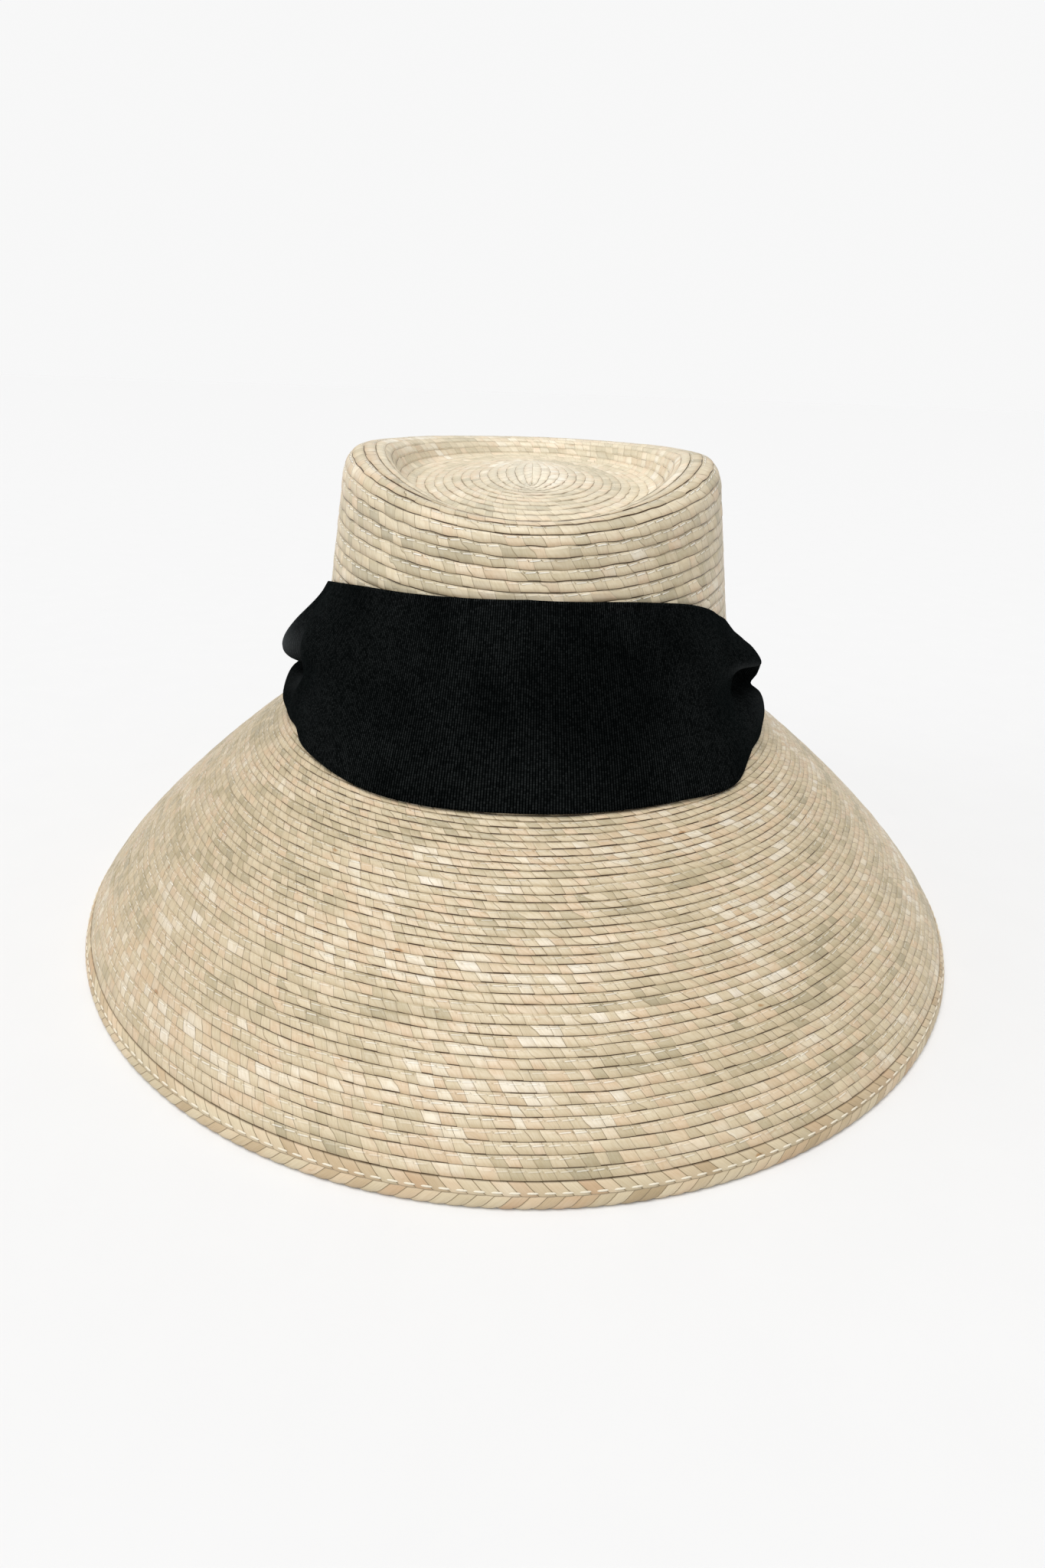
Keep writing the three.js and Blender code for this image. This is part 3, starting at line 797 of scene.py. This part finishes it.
RIGHT_SIDE = {
    **FRONT_PANEL,
    30: [(81.0, 144.2), (84.2, 136), (87.6, 127), (91.0, 118.4), (94.2, 110.3), (97.3, 103),
         (100.5, 96), (103.8, 88.5), (106.8, 81.1)],
    46: [(81.5, 140.5), (84.6, 132.5), (88.3, 124), (91.5, 116), (94.0, 109), (96.8, 102.5),
         (100.4, 95.5), (104.4, 88), (107.9, 80.3)],
    56: [(82.0, 136), (86.0, 128.4), (89.6, 121.8), (91.8, 115.4), (91.8, 109), (93.8, 102.4),
         (98.4, 96.2), (102.0, 89.2), (103.4, 83.2)],
    61: [(82.3, 132.8), (87.0, 126.4), (91.4, 120.6), (93.8, 115.0), (90.6, 111.6), (90.6, 103.4),
         (97.0, 97.8), (101.4, 90.4), (102.0, 84.2)],
    64: [(82.5, 131.2), (87.6, 125.2), (92.6, 119.6), (95.8, 114.2), (89.0, 112.4), (89.2, 103.4),
         (97.4, 98.6), (101.6, 91.2), (102.0, 84.3)],
    71: [(82.8, 127.4), (87.8, 122.2), (93.8, 118.0), (97.9, 111.8), (89.0, 110.6), (89.4, 103.2),
         (98.8, 99.0), (101.8, 91.6), (101.8, 84.3)],
    78: [(83.6, 122.0), (87.8, 119.2), (93.8, 115.2), (97.9, 109.6), (97.3, 104.6), (95.2, 100.0),
         (99.4, 96.4), (101.8, 90.2), (101.6, 84.7)],
    84: [(84.2, 119.4), (88.0, 117.2), (93.2, 113.6), (96.4, 108.4), (95.4, 103.2), (93.8, 96.6),
         (98.2, 92.8), (100.8, 88.6), (101.0, 84.8)],
    90: [(84.6, 117.8), (88.2, 116.0), (92.8, 112.8), (95.4, 107.6), (93.6, 102.6), (91.6, 96.2),
         (97.2, 92.4), (100.0, 88.8), (100.2, 85.2)],
    **BEHIND,
}
# Where a grey sheen is painted on the folds as a painted highlight: side, angle from the front and its
# reach, place from the top edge in keys and its reach, and how strong.
FOLD_SHINES = [
    ("left", 80, 9.0, 3.2, 0.9, 0.38),
    ("left", 72, 5.0, 6.2, 0.40, 0.06),
    ("right", 66, 8.0, 3.2, 0.35, 0.22),
    ("right", 74, 9.0, 6.6, 0.8, 0.07),
]
# The cut of the ribbon. It is too small for this sheet, which is 69.6 mm across in
# front and 674 mm round at its longest line: the cloth hidden in its folds isn't modelled.
RIBBON_WIDTH = 76
SASH_CUT_LENGTH = 2 * math.pi * 91
RIBBON_THICKNESS = 0.6


def smooth_through(keys, values, where):
    """Values on a smooth curve that passes through each key, read at `where`."""
    keys, values = np.asarray(keys, float), np.asarray(values, float)
    slope = np.gradient(values, keys, axis=0)
    i = np.clip(np.searchsorted(keys, where, side="right") - 1, 0, len(keys) - 2)
    gap = keys[i + 1] - keys[i]
    t = (where - keys[i]) / gap
    extra = (1,) * (values.ndim - 1)
    t, gap = t.reshape(-1, *extra), gap.reshape(-1, *extra)
    return (
        values[i] * (2 * t**3 - 3 * t**2 + 1) + slope[i] * gap * (t**3 - 2 * t**2 + t)
        + values[i + 1] * (3 * t**2 - 2 * t**3) + slope[i + 1] * gap * (t**3 - t**2)
    )


def cloth_piece(name, grid, closed, flat, material=None,
                thickness=RIBBON_THICKNESS, inward=False, shine=None):
    """A sheet of cloth from grid[along, across, xyz], with its thickness on both sides of it."""
    columns, lines, _ = grid.shape
    last = columns if closed else columns - 1
    column = np.arange(last)[:, None]
    line = np.arange(lines - 1)[None, :]
    after = (column + 1) % columns
    corners = [column * lines + line, column * lines + line + 1,
               after * lines + line + 1, after * lines + line]
    faces = np.stack(np.broadcast_arrays(*corners), -1).reshape(-1, 4)
    closed_grid = np.concatenate([grid, grid[:1]]) if closed else grid
    u = np.cumsum(np.linalg.norm(np.diff(closed_grid.mean(1), axis=0), axis=1))
    u = np.concatenate([[0], u])
    v = np.concatenate([[0], np.cumsum(np.linalg.norm(np.diff(grid, axis=1), axis=2).mean(0))])
    spots = [(column, line), (column, line + 1), (column + 1, line + 1), (column + 1, line)]
    uv = np.stack([
        np.stack(np.broadcast_arrays(u[a], v[b]), -1) for a, b in spots], -2).reshape(-1, 4, 2)
    if inward:
        faces, uv = faces[:, ::-1], uv[:, ::-1]
    piece = make_piece(name, grid.reshape(-1, 3), faces, material or grosgrain, uv)
    if shine is not None:
        layer = piece.data.attributes.new("fold_shine", "FLOAT", "POINT")
        layer.data.foreach_set("value", shine.astype(np.float32).ravel())
    shell = piece.modifiers.new("thickness", "SOLIDIFY")
    shell.thickness = thickness * MM
    shell.offset = 0
    [size * MM for size in flat]
    return piece


def sash():
    """The whole ribbon round the crown, as one sheet."""
    columns, lines = 600, 60
    angles = BACK + 2 * math.pi * np.arange(columns) / columns
    from_front = np.degrees(np.arccos(np.clip(-np.sin(angles), -1, 1)))
    sections = [
        smooth_through(list(side), [side[key] for key in side], from_front)
        for side in (LEFT_SIDE, RIGHT_SIDE)
    ]
    is_left = (np.cos(angles) < 0)[:, None, None]
    knots = np.where(is_left, *sections)
    across = np.linspace(0, knots.shape[1] - 1, lines)
    line = smooth_through(np.arange(knots.shape[1]), knots.transpose(1, 0, 2), across)
    line = line.transpose(1, 0, 2)
    grid = on_oval(line[..., 0], line[..., 1], angles[:, None])
    # painted sheen on the folds, mixed into the ribbon's colour by its shader
    shine = np.zeros(grid.shape[:2])
    for side, angle, reach, place, span, strength in FOLD_SHINES:
        on_side = is_left[..., 0] if side == "left" else ~is_left[..., 0]
        shine += on_side * strength * np.exp(
            -((from_front[:, None] - angle) / reach) ** 2 - ((across[None, :] - place) / span) ** 2)
    piece = cloth_piece(
        "sash_ribbon", grid, True, (RIBBON_WIDTH, SASH_CUT_LENGTH),
        inward=True, shine=shine)
    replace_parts(piece, "ribbon_sash")
    return piece


sash()


# ---- sweatband ----
def wall_radius(z):
    return np.interp(-z, [-WALL_TOP[1], -WALL_FOOT[1]], [WALL_TOP[0], WALL_FOOT[0]])


BAND_LOW, BAND_HIGH = node_box("sweatband")
BAND_DEPTH = 3.4                      # middle of the band's cloth, inside the wall's outer face


def on_band(share, angle, depth=0.0):
    """A place on the sweatband, from its foot at 0 to its top edge at 1, `depth` further inside."""
    height = BAND_LOW[2] + (BAND_HIGH[2] - BAND_LOW[2]) * share
    belly = 0.5 * np.sin(share * math.pi) + 0.3 * np.sin(angle * 31) * (1 - share)
    return on_oval(wall_radius(height) - BAND_DEPTH - belly - depth, height, angle)


def sweatband():
    angles = BACK + 2 * math.pi * np.arange(360) / 360
    grid = on_band(np.linspace(0, 1, 12)[None, :], angles[:, None])
    girth = math.pi * (BAND_HIGH[0] + BAND_HIGH[1])
    piece = cloth_piece(
        "sweatband_tape", grid, True, (BAND_HIGH[2] - BAND_LOW[2], girth),
        cotton, 0.8)
    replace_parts(piece, "sweatband")


def sweatband_join():
    """The tab sewn over the ends of the sweatband."""
    low, high = node_box("sweatband_join")
    reach = high[0] / high[1]
    turns = np.linspace(-reach, reach, 16)
    grid = on_band(np.linspace(0.05, 0.95, 14)[None, :], BACK + turns[:, None], 1.1)
    tab = cloth_piece(
        "sweatband_tab", grid, False, (2 * high[0], high[2] - low[2]),
        cotton, 0.7)
    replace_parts(tab, "sweatband_join")


sweatband()
sweatband_join()


# ---- bow ----
# Width and length of the bow's cloth. They are too small as well: a real bow of this
# ribbon keeps its full width in folds that aren't modelled.
BOW_WIDTH = 46
TAIL_CUT_LENGTH = 88


def knot():
    """A short band of ribbon wrapped round the middle of the bow, with the folds it was pulled into."""
    low, high = node_box("bow_knot")
    middle, half = (low + high) / 2, (high - low) / 2
    turn = 2 * math.pi * np.arange(64)[:, None] / 64
    across = np.linspace(-1, 1, 33)[None, :]
    waist = 1 - 0.16 * across**6 + 0.03 * np.cos(across * 3)
    folds = 0.7 * np.cos(across * 9 + 0.5 * np.sin(turn * 2)) + 0.25 * np.cos(across * 21 + turn)
    y = middle[1] + (half[1] * waist - 0.9 + folds * 0.5) * np.cos(turn)
    z = middle[2] + (half[2] * waist - 0.9 + folds * 0.5) * np.sin(turn)
    x = middle[0] + half[0] * across * (1 + 0.03 * np.sin(turn * 3))
    grid = np.stack(np.broadcast_arrays(x, y, z), -1)
    piece = cloth_piece(
        "bow_knot_wrap", grid, True, (2 * half[0] + 4, 2 * (half[1] + half[2]) * 1.6))
    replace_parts(piece, "bow_knot")


def bow_loop(side, name):
    """A hollow loop of ribbon, gathered into pleats at the knot and open towards its end."""
    low, high = node_box(f"bow_{name}_loop")
    near = min(abs(low[0]), abs(high[0])) - 4
    far = max(abs(low[0]), abs(high[0]))
    depth = (high[1] - low[1]) / 2
    middle = (low[1] + high[1]) / 2
    knot_low, knot_high = node_box("bow_knot")
    knot_height = (knot_low[2] + knot_high[2]) / 2
    path = np.linspace(0, 1, 90)[:, None]
    across = np.linspace(-1, 1, 48)[None, :]
    out = np.sin(math.pi * path) ** 0.85
    open_up = eased(out)
    half_height = 9 + ((high[2] - low[2]) / 2 - 9.5) * np.minimum(1, open_up * 1.35) ** 0.8
    bulge = 0.28 + 0.72 * open_up
    pleat = (1 - open_up) ** 1.5
    x = side * (near + (far - near - 0.5) * out * (1 - 0.06 * across**2))
    y = (middle + (depth - 0.6) * np.cos(math.pi * path) * bulge
         + pleat * 1.5 * np.sin(across * 11) + 0.5 * open_up * np.sin(across * 3.2 + side))
    z = (knot_height + ((high[2] + low[2]) / 2 - knot_height) * open_up
         + half_height * across + 0.8 * np.sin(path * 9 + across * 2) * open_up)
    grid = np.stack(np.broadcast_arrays(x, y, z), -1)
    piece = cloth_piece(
        f"bow_{name}_loop_ribbon", grid, False, (BOW_WIDTH, (far - near) * 2))
    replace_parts(piece, f"bow_{name}_loop")


def bow_tail(side, name):
    """An end of the ribbon that leaves the knot and lies on the brim, with a notched cut."""
    path = np.linspace(0, 1, 90)[:, None]
    across = np.linspace(-1, 1, 30)[None, :]
    notch = 0.10 * (1 - np.abs(across)) * np.clip((path - 0.6) / 0.4, 0, 1)
    along = 0.02 + 0.64 * path * (1 - notch)
    spread = np.clip(path / 0.5, 0, 1)
    width = BOW_WIDTH / 2 * (0.42 + 0.58 * eased(spread))
    gather = (1 - spread) ** 1.3
    lift = 2.0 + 0.5 * np.sin(path * 7 + across * 1.5 + side) + gather * 1.2 * np.sin(across * 8)
    radius, z = brim_profile.at(along + 0 * across, lift)
    angle = BACK - side * (0.17 + 0.19 * path) - across * width / (radius + HEAD_OVALITY)
    lying = on_oval(radius, z, angle, 0, brim_stretch(along))
    knot_low, knot_high = node_box("bow_knot")
    under_knot = np.stack(np.broadcast_arrays(
        side * 4 + across * 5, (knot_low[1] + knot_high[1]) / 2 + 1.2 * np.sin(across * 8),
        knot_low[2] + 5 + 0 * path), -1)
    leave = eased(np.clip(path / 0.16, 0, 1))[..., None]
    grid = under_knot * (1 - leave) + lying * leave
    piece = cloth_piece(
        f"bow_{name}_tail_ribbon", grid, False, (BOW_WIDTH, TAIL_CUT_LENGTH))
    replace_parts(piece, f"bow_{name}_tail")


for bow_side, bow_name in ((-1, "left"), (1, "right")):
    bow_loop(bow_side, bow_name)
    bow_tail(bow_side, bow_name)
knot()

TACK_WRAPS = 8
TACK_THREAD = 0.42                    # radius of the thread


def bar_tack(side, name):
    """A row of tight thread wraps that holds the pinch of the sash at one side."""
    low, high = node_box(f"sash_tack_{name}")
    middle, length = (low + high) / 2, high[1] - low[1]
    turn = 2 * math.pi * np.arange(8) / 8
    along = np.linspace(-1, 1, 9)
    points, faces = [], []
    for wrap in range(TACK_WRAPS):
        y = middle[1] + length * ((wrap + 0.5) / TACK_WRAPS - 0.5)
        for place in along:
            thick = TACK_THREAD * math.sqrt(1.02 - place * place)
            x = abs(middle[0]) - 0.9 + 0.7 * (1 - place * place)
            for bend in turn:
                points.append((
                    side * (x + thick * math.cos(bend)), y + thick * math.sin(bend),
                    middle[2] + 0.8 + 1.9 * place + 0.15 * math.sin(wrap * 2.4)))
        base = wrap * len(along) * len(turn)
        for j in range(len(along) - 1):
            for k in range(len(turn)):
                a = base + j * len(turn) + k
                b = base + j * len(turn) + (k + 1) % len(turn)
                faces.append((a, b, b + len(turn), a + len(turn)))
    piece = make_piece(f"sash_tack_{name}_thread", points, faces, black_thread)
    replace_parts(piece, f"sash_tack_{name}")


bar_tack(-1, "left")
bar_tack(1, "right")


# ---- floor, light and camera ----
def floor():
    bpy.ops.mesh.primitive_plane_add(size=60, location=(0, 0, -0.0004))
    plane = bpy.context.object
    plane.name = "floor"
    g = Graph("floor_paper")
    where = g.node("ShaderNodeTexCoord", {}, output=3)
    grain = g.noise(where, 40.0, 3.0)
    g.feed(g.shader.inputs["Base Color"], g.mix(grain, shown(231, 231, 231), shown(229, 229, 229)))
    g.shader.inputs["Roughness"].default_value = 0.9
    g.shader.inputs["Specular IOR Level"].default_value = 0.1
    plane.data.materials.append(g.material)


BACKDROP = 0.935                      # brightness of the backdrop, which the lit floor meets
AMBIENT = 0.45
KEY_FROM = (-0.12, -0.32, 0.93)
KEY_POWER = 2.40
SIDE_FROM = (-0.97, -0.20, 0.05)
SIDE_POWER = 0.85
LIGHT_WIDTH = math.radians(50)


def studio():
    """A pale backdrop that gives soft light, a wide key light from above and a weak one from the left."""
    world = bpy.data.worlds.new("studio")
    world.use_nodes = True
    nodes, links = world.node_tree.nodes, world.node_tree.links
    seen = nodes.new("ShaderNodeLightPath")
    level = nodes.new("ShaderNodeMapRange")
    level.inputs["To Min"].default_value = AMBIENT
    level.inputs["To Max"].default_value = BACKDROP
    links.new(seen.outputs["Is Camera Ray"], level.inputs["Value"])
    links.new(level.outputs[0], nodes["Background"].inputs["Strength"])
    nodes["Background"].inputs["Color"].default_value = (1, 1, 1, 1)
    bpy.context.scene.world = world
    for name, place, power in (("key", KEY_FROM, KEY_POWER), ("side", SIDE_FROM, SIDE_POWER)):
        light = bpy.data.lights.new(name, "SUN")
        light.energy = power
        light.angle = LIGHT_WIDTH
        lamp = bpy.data.objects.new(name, light)
        lamp.rotation_euler = Vector(place).to_track_quat("Z", "Y").to_euler()
        bpy.context.scene.collection.objects.link(lamp)


CAMERA_SENSOR = 36                    # long side, in millimetres
CAMERA_LENS = 21.714258
CAMERA_PLACE = (0.5, -401.0, 210.5)
CAMERA_PITCH = 0.3991                 # radians below the horizon
CAMERA_ROLL = 0.0360


def camera():
    data = bpy.data.cameras.new("camera")
    data.sensor_fit = "AUTO"
    data.sensor_width = CAMERA_SENSOR
    data.lens = CAMERA_LENS
    data.clip_start = 0.01
    data.clip_end = 100
    shot = bpy.data.objects.new("camera", data)
    shot.location = Vector(CAMERA_PLACE) * MM
    level = Euler((math.pi / 2 - CAMERA_PITCH, 0, 0)).to_matrix()
    roll = Euler((0, 0, CAMERA_ROLL)).to_matrix()
    shot.rotation_euler = (level @ roll).to_euler()
    bpy.context.scene.collection.objects.link(shot)
    bpy.context.scene.camera = shot


floor()
studio()
camera()
bpy.context.scene.view_settings.view_transform = "Standard"
